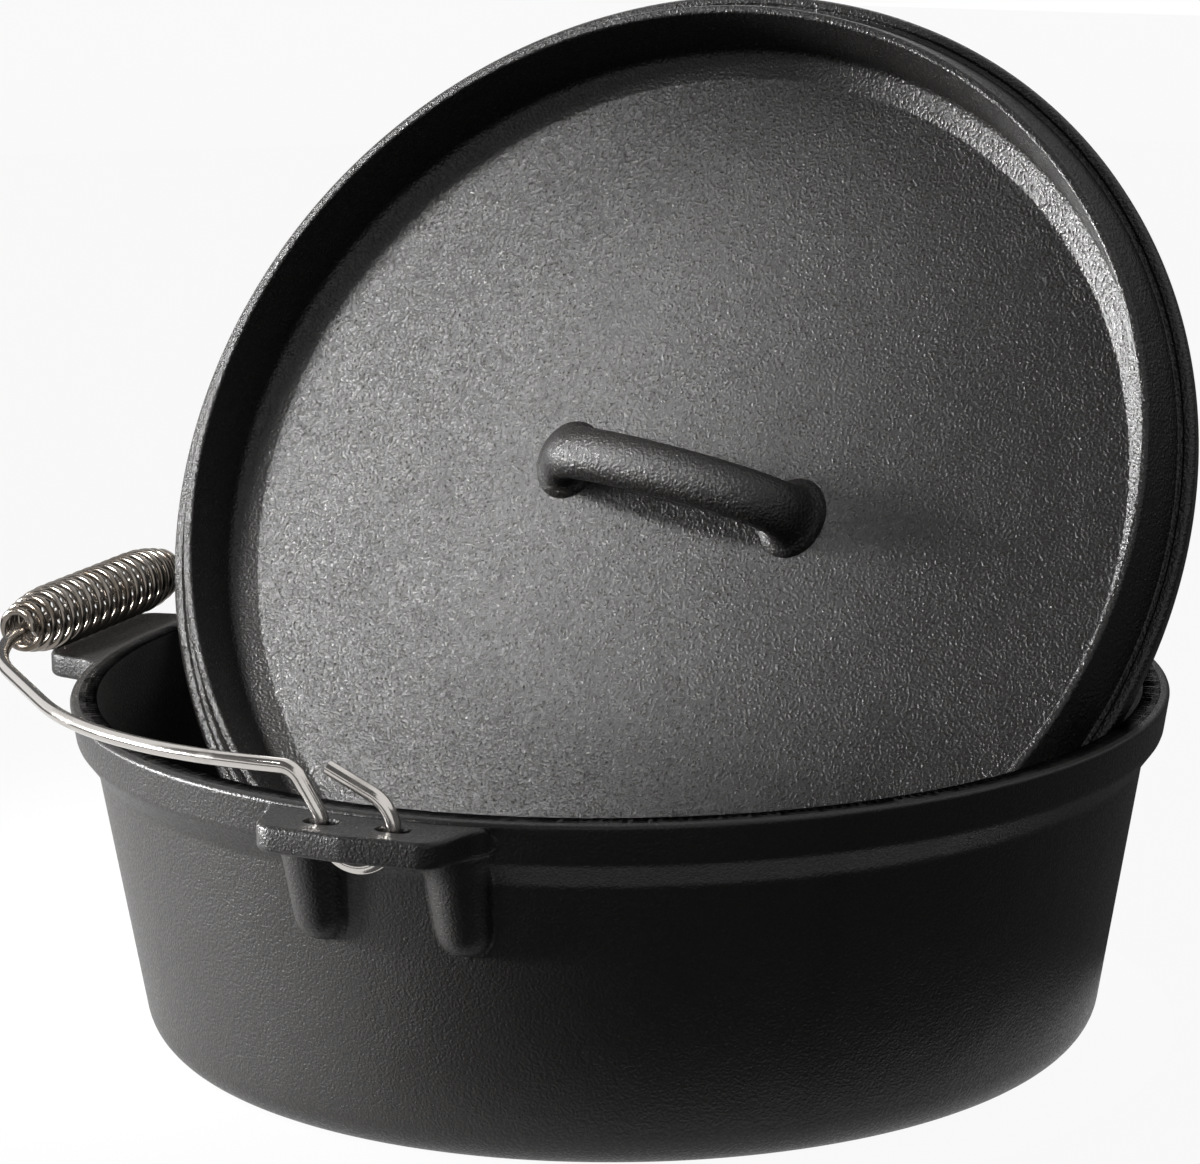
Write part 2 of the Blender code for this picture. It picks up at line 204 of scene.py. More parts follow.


# %% [markdown]
# ## Cast iron
#
# Sand casting leaves a skin of small pebbles, and the seasoning, a baked coat of oil,
# fills it and turns it satin black. Cells, a fine noise and a broad swell make the
# height, which a Bump node turns into light and dark. The same pattern drives colour and
# roughness: the tops are smoother than the pits, and their colour is lighter, partly as
# wear and partly as painted glints that stand in for the sharp specks of light such iron
# shows. The lid's skin is deeper than the pot's.

# %% Cast iron
IRON = (0.0060, 0.0057, 0.0055, 1.0)
# Lighter colour of the tops: partly worn iron, partly a painted glint.
IRON_WORN_AND_GLINT = (0.020, 0.0175, 0.0155, 1.0)
PEBBLE_SHARE = 0.35
SWELL_SHARE = 1.2
SWELL_GRAINS = 16
TOPS_START = 0.62
TOPS_FULL = 0.86
WEAR_AND_GLINT = 0.6
PATCH_SIZE = 0.045
PATCH_CONTRAST = 0.10


def cast_iron(name, grain, depth, roughness, contrast, gloss):
    recipe = Recipe(name, Specular_IOR_Level=gloss)
    where = recipe.place()
    cells = {"Vector": where, "Scale": 1 / grain, "Smoothness": 0.5}
    smooth = {"feature": "SMOOTH_F1"}
    pebbles = recipe.node("ShaderNodeTexVoronoi", smooth, cells, output="Distance")
    grit = recipe.noise(where, grain * 0.8, detail=2.0, roughness=0.55)
    swell = recipe.noise(where, grain * SWELL_GRAINS, detail=1.0)
    height = (1 - pebbles) * PEBBLE_SHARE + grit + swell * SWELL_SHARE
    tops = (grit + (1 - pebbles) * 0.4).ramp(TOPS_START, TOPS_FULL)
    relief = {"Strength": 1.0, "Distance": depth, "Height": height}
    normal = recipe.node("ShaderNodeBump", None, relief)
    patches = recipe.noise(where, PATCH_SIZE, detail=3.0)
    return recipe.finish(
        # Base colour is lighter on the tops: partly wear, partly painted glints for the specks
        # of light.
        Base_Color=recipe.mixed(tops * WEAR_AND_GLINT, IRON, IRON_WORN_AND_GLINT),
        Roughness=roughness + (1 - tops) * contrast + (patches - 0.5) * PATCH_CONTRAST,
        Normal=normal,
    )


pot_iron = cast_iron(
    "pot cast iron", grain=0.0009, depth=0.00021, roughness=0.34, contrast=0.12, gloss=0.36,
)
lid_iron = cast_iron(
    "lid cast iron", grain=0.0010, depth=0.00042, roughness=0.26, contrast=0.16, gloss=0.42,
)
print("iron:", pot_iron.name, "and", lid_iron.name)

# %% [markdown]
# ## Steel wire
#
# The bail is drawn wire, polished bright, and the grip is browner spring wire. Both are
# pure metal, with a low roughness that breaks up in fine scratches, so that the white
# and black of the studio show in them as soft streaks. Brown stains vary the colour.

# %% Steel wire
STEEL = (0.62, 0.59, 0.56, 1.0)
STEEL_BROWN = (0.11, 0.090, 0.070, 1.0)
SCRATCH_SIZE = 0.0009
SCRATCH_DEPTH = 0.00004
STAIN_SIZE = 0.012


def steel_wire(name, roughness, brown):
    recipe = Recipe(name, Metallic=1.0)
    where = recipe.place()
    scratches = recipe.noise(where, SCRATCH_SIZE, detail=4.0, roughness=0.7)
    stains = recipe.noise(where, STAIN_SIZE, detail=3.0).ramp(0.52, 0.75)
    relief = {"Strength": 0.35, "Distance": SCRATCH_DEPTH, "Height": scratches}
    normal = recipe.node("ShaderNodeBump", None, relief)
    return recipe.finish(
        Base_Color=recipe.mixed(stains * 0.3 + brown, STEEL, STEEL_BROWN),
        Roughness=roughness + scratches * 0.10 + stains * 0.12,
        Normal=normal,
    )


bail_steel = steel_wire("polished bail wire", roughness=0.10, brown=0.05)
spring_steel = steel_wire("bright spring wire", roughness=0.12, brown=0.80)
print("steel:", bail_steel.name, "and", spring_steel.name)

# %% [markdown]
# ## Outlines with round corners
#
# Nothing cast has a sharp corner. Every profile and plan below is a short list of
# corners with a radius each, and this helper swaps each corner for an arc. The arcs are
# cut into chords that stay within a few hundredths of a millimetre of the true circle.

# %% Rounded outlines
CHORD_ERROR = 0.00002


def arc(centre, radius, start, end):
    chord = 2 * math.acos(1 - CHORD_ERROR / radius)
    steps = max(3, math.ceil(abs(end - start) / chord))
    angles = np.linspace(start, end, steps + 1)
    return [centre + radius * Vector((math.cos(a), math.sin(a))) for a in angles]


def rounded(corners):
    """Open outline through corners (x, y, radius); a radius of 0 keeps the corner."""
    points = []
    for index, (x, y, radius) in enumerate(corners):
        here = Vector((x, y))
        if radius == 0 or index in (0, len(corners) - 1):
            points.append(here)
            continue
        before = (Vector(corners[index - 1][:2]) - here).normalized()
        after = (Vector(corners[index + 1][:2]) - here).normalized()
        half = before.angle(after) / 2
        centre = here + (before + after).normalized() * radius / math.sin(half)
        start = here + before * radius / math.tan(half) - centre
        end = here + after * radius / math.tan(half) - centre
        sweep = math.atan2(start.x * end.y - start.y * end.x, start.dot(end))
        begin = math.atan2(start.y, start.x)
        points += arc(centre, radius, begin, begin + sweep)
    return points


def resampled(points, step):
    """The same outline with its points spread evenly, about `step` apart."""
    line = np.array([tuple(point) for point in points])
    lengths = np.hypot(*np.diff(line, axis=0).T)
    along = np.concatenate([[0], np.cumsum(lengths)])
    count = max(2, round(along[-1] / step))
    places = np.linspace(0, along[-1], count + 1)
    return np.stack([np.interp(places, along, line[:, axis]) for axis in (0, 1)], axis=1)


# %% [markdown]
# ## One way to make a mesh
#
# Pot, lid and handle are all a pile of rings with the same number of points. `piled`
# joins each ring to the next with quads and closes the first and the last with a fan.
# A turned piece starts and ends with a ring of radius CENTRE, too small for a fan to show.
# Quads in even rows shade smoothly, which matters on a dark, glossy surface.

# %% Meshes from rings
SHARP = math.radians(38)
CENTRE = 0.0003


def piled(name, rings, material):
    """Closed mesh through an array of rings, shaped (rings, points, 3)."""
    rings = np.asarray(rings)
    count, size, _ = rings.shape
    ends = [rings[0].mean(axis=0), rings[-1].mean(axis=0)]
    vertices = np.concatenate([rings.reshape(-1, 3), ends])
    corners = np.arange(count * size).reshape(count, size)
    after = np.roll(corners, -1, axis=1)
    quads = np.stack([corners[:-1], after[:-1], after[1:], corners[1:]], axis=-1)
    first, last = count * size, count * size + 1
    faces = quads.reshape(-1, 4).tolist()
    faces += [(first, b, a) for a, b in zip(corners[0], after[0])]
    faces += [(last, a, b) for a, b in zip(corners[-1], after[-1])]
    mesh = bpy.data.meshes.new(name)
    mesh.from_pydata(vertices.tolist(), [], faces)
    mesh.materials.append(material)
    made = bpy.data.objects.new(name, mesh)
    scene.collection.objects.link(made)
    mesh.shade_smooth()
    return made


# %% [markdown]
# ## Cutting and dressing
#
# A Boolean modifier cuts holes, and its result is kept as the mesh. Every finished piece
# then rides on a body of the frame, in the place of the plain solid that it stands for.
# The boxes that `dress` prints show whether the piece lies where the solid does.

# %% Cut and dress
def cut(piece, cutters):
    """Takes the cutters out of the piece for good, and keeps its round faces smooth."""
    for cutter in cutters:
        boolean = piece.modifiers.new("cut", "BOOLEAN")
        boolean.object = cutter
        boolean.solver = "EXACT"
    bpy.context.view_layer.update()
    seen = piece.evaluated_get(bpy.context.evaluated_depsgraph_get())
    mesh = bpy.data.meshes.new_from_object(seen)
    piece.modifiers.clear()
    piece.data = mesh
    mesh.set_sharp_from_angle(angle=SHARP)
    for cutter in cutters:
        bpy.data.objects.remove(cutter)


def dress(piece, body, slot, *nodes):
    """Rides a piece on its body, in place of the plain solids."""
    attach(piece, body)
    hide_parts(*nodes)
    low, high = (np.array(corner) * 1000 for corner in own_box(piece))
    print(f"{piece.name}: {len(piece.data.polygons)} faces,",
          "box", low.round(1).tolist(), high.round(1).tolist())
    for node in nodes:
        low, high = (np.array(corner) * 1000 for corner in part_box(node))
        print(f"  solid {node}: box", low.round(1).tolist(), high.round(1).tolist())


def own_box(piece):
    points = np.array([piece.matrix_world @ vertex.co for vertex in piece.data.vertices])
    return points.min(axis=0), points.max(axis=0)


# %% [markdown]
# ## The pot's plan
#
# Seen from above, the pot is a circle with three plates: an ear at each end of the Y
# axis, which holds the bail, and a rest tab at -X, on which the grip lies. The plan is
# one closed outline. Its points are close together round the plates and wide apart on
# the plain rim, so the mesh is fine only where the shape is.

# %% Plan of the pot
POT_HEIGHT = 0.0991
RIM_RADIUS = 0.1550
EAR = {"reach": 0.0180, "root": 0.0302, "tip": 0.0256}
TAB = {"reach": 0.0190, "root": 0.0325, "tip": 0.0282}
PLATE_SPREAD = 0.0150
PLATE_CORNER = 0.0075
PLATE_ROOT_FILLET = 0.0100
FINE_STEP = 0.0007
RIM_STEP = 0.0026


def plate_plan(reach, root, tip):
    """Outline of a plate that points along +X, from its right side to its left."""
    def on_circle(radius, across):
        return math.sqrt(radius ** 2 - across ** 2), across

    edge = RIM_RADIUS + reach
    spread = root + PLATE_SPREAD
    half = [
        (*on_circle(RIM_RADIUS, spread), 0),
        (*on_circle(RIM_RADIUS, root), PLATE_ROOT_FILLET),
        (*on_circle(edge, tip), PLATE_CORNER),
        (edge, 0, 0),
    ]
    mirrored = [(x, -y, radius) for x, y, radius in half]
    return resampled(rounded(mirrored + half[-2::-1]), FINE_STEP)


def pot_plan():
    """Closed outline of the pot, anticlockwise from the back ear."""
    places = [(math.pi / 2, EAR), (math.pi, TAB), (3 * math.pi / 2, EAR)]
    parts = []
    for turn, plate in places:
        plan = plate_plan(**plate)
        x, y = plan.T
        plan = np.stack([x * math.cos(turn) - y * math.sin(turn),
                         x * math.sin(turn) + y * math.cos(turn)], axis=1)
        parts.append(plan)
    joined = []
    for plan, following in zip(parts, parts[1:] + parts[:1]):
        start = math.atan2(plan[-1][1], plan[-1][0])
        end = math.atan2(following[0][1], following[0][0])
        sweep = (end - start) % (2 * math.pi)
        steps = round(sweep * RIM_RADIUS / RIM_STEP)
        angles = start + sweep * np.arange(1, steps) / steps
        joined += [plan, RIM_RADIUS * np.stack([np.cos(angles), np.sin(angles)], axis=1)]
    return np.concatenate(joined)


plan = pot_plan()
angle = np.arctan2(plan[:, 1], plan[:, 0])
outward = np.stack([np.cos(angle), np.sin(angle)], axis=1)
way = np.roll(plan, -1, axis=0) - np.roll(plan, 1, axis=0)
square_on = np.stack([way[:, 1], -way[:, 0]], axis=1)
square_on /= np.linalg.norm(square_on, axis=1)[:, None]
beyond_rim = np.linalg.norm(plan, axis=1) - RIM_RADIUS
print(f"plan: {len(plan)} points, furthest {beyond_rim.max() * 1000:.1f} mm beyond the rim")

# %% [markdown]
# ## The pot's wall and lip
#
# The wall is turned: a flat base, a fillet, a straight slope and a thick lip on a
# slanted neck. Two open outlines describe it, the outside from the middle of the base up
# to the mouth, and the inside from the rim down to the middle of the floor.

# %% Wall and lip
MOUTH_RADIUS = RIM_RADIUS - 0.0077
LIP_HEIGHT = 0.0108
LIP_DRAFT = 0.0017
LIP_CHAMFER = 0.0073
BASE_RADIUS = RIM_RADIUS - 0.0208
BASE_FILLET = 0.0126
WALL_SLOPE = 0.168
WALL_THICKNESS = 0.0045
FLOOR_THICKNESS = 0.0052
FLOOR_FILLET = 0.0100
MOUTH_DEPTH = 0.0160
MOUTH_FILLET = 0.0120
NECK_FILLET = 0.0040
LIP_FILLET = 0.0028
EDGE_ROUND = 0.0011
PLATE_THICKNESS = 0.0073
PLATE_DROP = 0.0010

plate_top = POT_HEIGHT - PLATE_DROP
plate_under = plate_top - PLATE_THICKNESS
lip_foot = POT_HEIGHT - LIP_HEIGHT
neck = lip_foot - LIP_CHAMFER
mouth_foot = POT_HEIGHT - MOUTH_DEPTH


def wall_radius(height):
    return BASE_RADIUS + WALL_SLOPE * height


outside = np.array([tuple(point) for point in rounded([
    (0, 0, 0),
    (BASE_RADIUS, 0, BASE_FILLET),
    (wall_radius(neck), neck, NECK_FILLET),
    (RIM_RADIUS - LIP_DRAFT, lip_foot, LIP_FILLET),
    (RIM_RADIUS, POT_HEIGHT, EDGE_ROUND),
    (MOUTH_RADIUS, POT_HEIGHT, 0),
])])
inside = np.array([tuple(point) for point in rounded([
    (RIM_RADIUS, POT_HEIGHT, 0),
    (MOUTH_RADIUS, POT_HEIGHT, EDGE_ROUND),
    (wall_radius(mouth_foot) - WALL_THICKNESS, mouth_foot, MOUTH_FILLET),
    (wall_radius(FLOOR_THICKNESS) - WALL_THICKNESS, FLOOR_THICKNESS, FLOOR_FILLET),
    (0, FLOOR_THICKNESS, 0),
])])


def outer_radius(height):
    return np.interp(height, outside[1:-1, 1], outside[1:-1, 0])


print(f"lip {LIP_HEIGHT * 1000:.1f} mm high, plates {PLATE_THICKNESS * 1000:.1f} mm thick")

# %% [markdown]
# ## Pegs under the ears
#
# Under each ear two tapered pegs grow out of the wall to carry it. They are part of the
# same casting, so they flow into the wall with a fillet. A smooth maximum of the two
# radii gives just that: it follows whichever stands out further and rounds the valley
# between them.

# %% Pegs
PEG_OFFSET = 0.0205
PEG_TOP_RADIUS = 0.0092
PEG_FOOT_RADIUS = 0.0066
PEG_HEIGHT = 0.0300
PEG_END = 0.0075
PEG_END_FULLNESS = 2.4
PEG_FILLET = 0.0050
PEG_FADE = 4


def smooth_max(first, second, width):
    overlap = np.maximum(width - np.abs(first - second), 0) / width
    return np.maximum(first, second) + overlap ** 2 * width / 4


def peg_reach(height, side, front):
    """How far out a peg's surface lies in each direction of the plan. Beside the peg
    and below it the reach falls off fast, so that no fillet forms there."""
    down = plate_under - height
    taper = PEG_TOP_RADIUS + (PEG_FOOT_RADIUS - PEG_TOP_RADIUS) * down / PEG_HEIGHT
    end = np.clip((down - PEG_HEIGHT + PEG_END) / PEG_END, 0, 1)
    radius = taper * (1 - end ** PEG_END_FULLNESS) ** (1 / PEG_END_FULLNESS)
    away = math.sqrt(wall_radius(height) ** 2 - PEG_OFFSET ** 2)
    centre = np.array([side * PEG_OFFSET, front * away])
    along = outward @ centre
    across = np.abs(outward[:, 0] * centre[1] - outward[:, 1] * centre[0])
    bulge = np.sqrt(np.maximum(radius ** 2 - across ** 2, 0))
    beside = np.maximum(across - radius, 0) + max(down - PEG_HEIGHT, 0)
    return np.where(along > 0, along + bulge - beside * PEG_FADE, 0)


def pot_reach(height):
    """Outer radius of wall, lip and pegs together, in each direction of the plan."""
    reach = np.full(len(plan), outer_radius(height))
    for side in (-1, 1):
        for front in (-1, 1):
            reach = smooth_max(reach, peg_reach(height, side, front), PEG_FILLET)
    return reach


print(f"pegs {PEG_HEIGHT * 1000:.0f} mm high, {PEG_TOP_RADIUS * 2000:.1f} mm wide at the top")

# %% [markdown]
# ## Ears and tab, raised from the same rings
#
# The rings that climb the lip leave it where the plan leaves the circle: they run out
# under the plate, round its edge and come back along its top. Where the plan is just the
# rim they stay on the lip. A weight that grows over the first two millimetres blends
# the one path into the other, so every plate grows out of the lip with a fillet.

# %% Rings of the plates
PLATE_EDGE = 0.0014
UNDER_FILLET = 0.0015
BLEND = 0.0020
PLATE_RINGS = 14
EDGE_RINGS = 6
ROOT_CROWDING = 1.4
RIM_CROWDING = 1.2
FILLET_FADE = 1.6


def spread_out(flat, height):
    """Points of a ring from a plan in metres and one height, or one height for each."""
    heights = np.broadcast_to(height, len(flat))
    return np.column_stack([flat, heights])


def turned_ring(radius, height):
    return spread_out(outward * radius, height)


def lip_and_plates(start):
    """Rings from under the plates, round their edges and back to the rim's edge. The
    powers of `share` bring them closer together where the plates leave the lip."""
    step = (beyond_rim / BLEND).clip(0, 1)
    plate = (step * step * (3 - 2 * step))[:, None]
    root = outward * pot_reach(start)[:, None]
    inset = plan - square_on * PLATE_EDGE
    stations = []
    for share in np.linspace(0, 1, PLATE_RINGS + 1)[1:] ** ROOT_CROWDING:
        flat = root + (inset - root) * share
        rise = np.exp(-np.linalg.norm(flat - root, axis=1) / UNDER_FILLET * FILLET_FADE)
        stations.append((flat, plate_under - UNDER_FILLET * rise))
    quarter = np.linspace(0, math.pi / 2, EDGE_RINGS + 1)[1:]
    for turn in quarter:
        flat = plan - square_on * PLATE_EDGE * (1 - math.sin(turn))
        stations.append((flat, plate_under + PLATE_EDGE * (1 - math.cos(turn))))
    middle = (plate_top + plate_under) / 2
    stations.append((plan, middle))
    for turn in [0, *quarter]:
        flat = plan - square_on * PLATE_EDGE * (1 - math.cos(turn))
        stations.append((flat, plate_top - PLATE_EDGE * (1 - math.sin(turn))))
    rim = outward * outer_radius(plate_top)
    for share in 1 - (1 - np.linspace(0, 1, PLATE_RINGS + 1)[1:]) ** RIM_CROWDING:
        stations.append((inset + (rim - inset) * share, plate_top))
    rings = []
    for index, (flat, height) in enumerate(stations):
        plain = start + (plate_top - start) * (index + 1) / len(stations)
        on_lip = turned_ring(outer_radius(plain), plain)
        rings.append(on_lip * (1 - plate) + spread_out(flat, height) * plate)
    return rings


plate_rings = lip_and_plates(plate_under - UNDER_FILLET)
print(f"plates: {len(plate_rings)} rings")

# %% [markdown]
# ## The whole pot
#
# All rings in one pile: across the base, up the wall and past the pegs, round the lip
# and the plates, over the rim and down the inside to the middle of the floor. Up the
# wall they are closest where the pegs are. The whole pot is one net of quads.

# %% Rings of the pot
BASE_RINGS = (CENTRE, 0.05, 0.09, 0.115)
WALL_STEP = 0.0040
PEG_STEP = 0.0008
INSIDE_STEP = 0.012


def pot_rings():
    corner_end = outside[:, 1].searchsorted(BASE_FILLET)
    base = [(radius, 0.0) for radius in BASE_RINGS]
    base += [tuple(point) for point in outside[1:corner_end]]
    rings = [turned_ring(radius, height) for radius, height in base]
    peg_low = plate_under - PEG_HEIGHT - PEG_STEP * 4
    heights = np.concatenate([
        np.arange(BASE_FILLET + WALL_STEP, peg_low, WALL_STEP),
        np.arange(peg_low, plate_under - UNDER_FILLET, PEG_STEP),
    ])
    rings += [spread_out(outward * pot_reach(z)[:, None], z) for z in heights]
    rings += plate_rings
    edge = outside[(outside[:, 1] > plate_top) & (outside[:, 0] > MOUTH_RADIUS)]
    for radius, height in edge:
        rings.append(turned_ring(radius, height))
    for share in (0.35, 0.7):
        rings.append(turned_ring(RIM_RADIUS + (MOUTH_RADIUS - RIM_RADIUS) * share, POT_HEIGHT))
    for low, high in zip(inside[1:-1], inside[2:]):
        rings.append(turned_ring(*low))
        far = np.linalg.norm(high - low)
        for part in range(1, int(far // INSIDE_STEP)):
            rings.append(turned_ring(*(low + (high - low) * part * INSIDE_STEP / far)))
    rings.append(turned_ring(CENTRE, FLOOR_THICKNESS))
    return rings


pot = piled("pot_casting", pot_rings(), pot_iron)
print(f"pot casting: {len(pot.data.polygons)} faces")

# %% [markdown]
# ## Holes for the bail
#
# Each ear has two slots with a web between them, and the ring at the bail's end passes
# down one and up the other. The slots are cut through, so that the wire can be seen to
# go in. Their mouths are flared a little, as cast holes are.

# %% Holes
RING_RADIUS = 0.0102
WIRE_RADIUS = 0.0020
RING_Y = RIM_RADIUS + EAR["reach"] - 0.0106
WEB_HALF = 0.0056
HOLE_END = RING_RADIUS + WIRE_RADIUS + 0.0024
HOLE_HALF = WIRE_RADIUS + 0.0006
WEB_CHAMFER = 0.0016
MOUTH_FLARE = 0.0007
CUT_BEYOND = 0.0030
HOLE_POINTS = 40
HOLE_SQUARENESS = 0.7


def oblong(wave):
    """Squarer version of a sine, which turns a circle into a slot with round corners."""
    return np.sign(wave) * np.abs(wave) ** HOLE_SQUARENESS


def hole(side, front):
    """Cutter for one slot, wider at both mouths of the hole."""
    half_length = (HOLE_END - WEB_HALF) / 2
    middle = (HOLE_END + WEB_HALF) / 2
    levels = [
        (plate_under - CUT_BEYOND, WEB_CHAMFER + CUT_BEYOND, 0.0002),
        (plate_under + WEB_CHAMFER, 0, 0),
        (plate_top - MOUTH_FLARE * 1.6, 0, 0),
        (plate_top - MOUTH_FLARE * 0.5, MOUTH_FLARE * 0.3, MOUTH_FLARE * 0.3),
        (plate_top + 0.0003, MOUTH_FLARE, MOUTH_FLARE),
    ]
    turns = np.linspace(0, 2 * math.pi, HOLE_POINTS, endpoint=False)
    rings = []
    for height, inward, flare in levels:
        reach = half_length + (inward + flare) / 2
        centre = middle - (inward - flare) / 2
        x = side * (centre + reach * oblong(np.cos(turns)))
        y = front * RING_Y + side * (HOLE_HALF + flare) * oblong(np.sin(turns))
        rings.append(spread_out(np.column_stack([x, y]), height))
    return piled(f"hole {side} {front}", rings, pot_iron)


cut(pot, [hole(side, front) for side in (-1, 1) for front in (-1, 1)])
dress(pot, "pot", "iron", "pot")

# %% [markdown]
# ## The lid
#
# The lid is a shallow dish: a field with a sloping band round it, an upright flange that
# keeps coals on it, a groove at the flange's foot and a ledge that sits on the rim. It
# is turned from one profile, lying flat, and then leaned into the pot's mouth, where its
# ledge is wedged between the two sides of the mouth. That gives its place: the chord of
# the mouth at the line of contact has to be as long as the chord of the lid.

# %% Lid profile
LID_RADIUS = RIM_RADIUS + 0.0012
LEDGE_HEIGHT = 0.0053
FLANGE_HEIGHT = 0.0183
FLANGE_OUTER = LID_RADIUS - 0.0099
FLANGE_INNER = FLANGE_OUTER - 0.0024
FLANGE_FOOT = FLANGE_OUTER + 0.0049
FLANGE_INNER_DRAFT = 0.0022
BAND_WIDTH = 0.0075
BAND_RISE = 0.0040
GROOVE_WIDTH = 0.0014
GROOVE_DEPTH = 0.0007
FIELD = -0.0077
PLATE = 0.0050
PLUG = MOUTH_RADIUS - 0.0009
LID_LEAN = math.radians(59.6)
LID_BACK = 0.0095
SEAT_GAP = 0.0003
LID_STEPS = 288

band_top = FLANGE_INNER - FLANGE_INNER_DRAFT
lid_outline = rounded([
    (0, FIELD - PLATE, 0),
    (PLUG - 0.0039, FIELD - PLATE, 0.0080),
    (PLUG, 0, 0.0010),
    (LID_RADIUS, 0, 0.0011),
    (LID_RADIUS, LEDGE_HEIGHT, 0.0017),
    (FLANGE_FOOT + GROOVE_WIDTH + 0.0006, LEDGE_HEIGHT, 0.0003),
    (FLANGE_FOOT + GROOVE_WIDTH, LEDGE_HEIGHT - GROOVE_DEPTH, 0.0003),
    (FLANGE_FOOT, LEDGE_HEIGHT - GROOVE_DEPTH, 0.0005),
    (FLANGE_OUTER, FLANGE_HEIGHT, 0.0010),
    (FLANGE_INNER, FLANGE_HEIGHT, 0.0009),
    (band_top, FIELD + BAND_RISE, 0.0035),
    (band_top - BAND_WIDTH * 0.35, FIELD + BAND_RISE * 0.65, 0),
    (band_top - BAND_WIDTH * 0.90, FIELD + BAND_RISE * 0.10, 0),
    (band_top - BAND_WIDTH, FIELD, 0.0012),
    (band_top - BAND_WIDTH - 0.0012, FIELD, 0),
    (0, FIELD, 0),
])
half_width = math.sqrt((MOUTH_RADIUS - SEAT_GAP) ** 2 - LID_BACK ** 2)
up_slope = math.sqrt(LID_RADIUS ** 2 - half_width ** 2)
lid_place = Matrix.Translation((
    0,
    LID_BACK + up_slope * math.cos(LID_LEAN),
    POT_HEIGHT + up_slope * math.sin(LID_LEAN),
)) @ Matrix.Rotation(LID_LEAN, 4, "X")
print("lid: seat centre at", [round(v, 4) for v in lid_place.translation])

# %% [markdown]
# ## Turning the lid
#
# The profile's points become rings round the lid's own axis. The plain field gets a few
# rings of its own, so that none of its quads runs from the band to the middle, and then
# the whole lid moves to its place. Only edges with a turn of more than SHARP stay sharp.

# %% Turn the lid
UNDERSIDE_RINGS = (CENTRE, 0.04, 0.08, 0.11)
FIELD_RINGS = (0.11, 0.08, 0.05, 0.02, CENTRE)
turns = np.linspace(0, 2 * math.pi, LID_STEPS, endpoint=False)


def lid_ring(radius, height):
    return np.column_stack([
        radius * np.cos(turns), radius * np.sin(turns), np.full(LID_STEPS, height),
    ])


lid_rings = [lid_ring(radius, FIELD - PLATE) for radius in UNDERSIDE_RINGS]
lid_rings += [lid_ring(point.x, point.y) for point in lid_outline[1:-1]]
lid_rings += [lid_ring(radius, FIELD) for radius in FIELD_RINGS]
lid = piled("lid_casting", lid_rings, lid_iron)
lid.data.transform(lid_place)
lid.data.set_sharp_from_angle(angle=SHARP)
dress(lid, "lid", "lid_iron", "lid")

# %% [markdown]
# ## The lid's handle
#
# A thick loop is cast on the field for a hook or a gloved hand. Its bar is a flattened
# round that grows a little towards its feet, and the feet spread where they meet the
# field. It is a pile of rings along an arch: a half circle whose height is raised to a
# power below one, which makes the shoulders fuller.

# %% Handle
HANDLE_HALF_SPAN = 0.0370
HANDLE_HEIGHT = 0.0212
HANDLE_HALF_WIDTH = 0.0079
HANDLE_HALF_THICKNESS = 0.0058
HANDLE_FULLNESS = 0.56
HANDLE_SINK = 0.0025
HANDLE_TURN = math.radians(-9.8)
HANDLE_SHIFT = (-0.0013, 0.0042)
HANDLE_FOOT = 0.0040
HANDLE_FOOT_FADE = 0.0022
HANDLE_GROWTH = 0.10


def handle_rings(stations=96, points=48):
    crown = HANDLE_HEIGHT - HANDLE_HALF_THICKNESS + HANDLE_SINK
    swing = np.linspace(0, math.pi, stations)
    x = HANDLE_HALF_SPAN * np.cos(swing)
    z = FIELD - HANDLE_SINK + crown * np.sin(swing) ** HANDLE_FULLNESS
    path = np.stack([x, z], axis=1)
    along = np.gradient(path, axis=0)
    along[0] = (0, 1)
    along[-1] = (0, -1)
    along /= np.linalg.norm(along, axis=1)[:, None]
    above = np.maximum(z - FIELD, 0)
    foot = HANDLE_FOOT * np.exp(-above / HANDLE_FOOT_FADE)
    low = 1 - (z - z.min()) / crown
    around = np.linspace(0, 2 * math.pi, points, endpoint=False)
    rings = []
    for index in range(stations):
        grow = 1 + HANDLE_GROWTH * low[index] ** 2
        across = (HANDLE_HALF_WIDTH * grow + foot[index]) * np.cos(around)
        out = (HANDLE_HALF_THICKNESS * grow + foot[index]) * np.sin(around)
        rings.append(np.column_stack([
            x[index] + along[index][1] * out, across, z[index] - along[index][0] * out,
        ]))
    return rings


handle = piled("lid_handle", handle_rings(), lid_iron)
turn = Matrix.Rotation(HANDLE_TURN, 4, "Z") @ Matrix.Translation((*HANDLE_SHIFT, 0))
handle.data.transform(lid_place @ turn)
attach(handle, "lid")
print(f"handle: {len(handle.data.polygons)} faces, {HANDLE_HEIGHT * 1000:.1f} mm high")

# %% [markdown]
# ## Wires
#
# Bail and coil are both round wire, so one function draws them: a curve with a round
# bevel, turned into a mesh. Its ends are flat, as cut wire is.

# %% Wire along a curve
CAP_SHARP = math.radians(50)


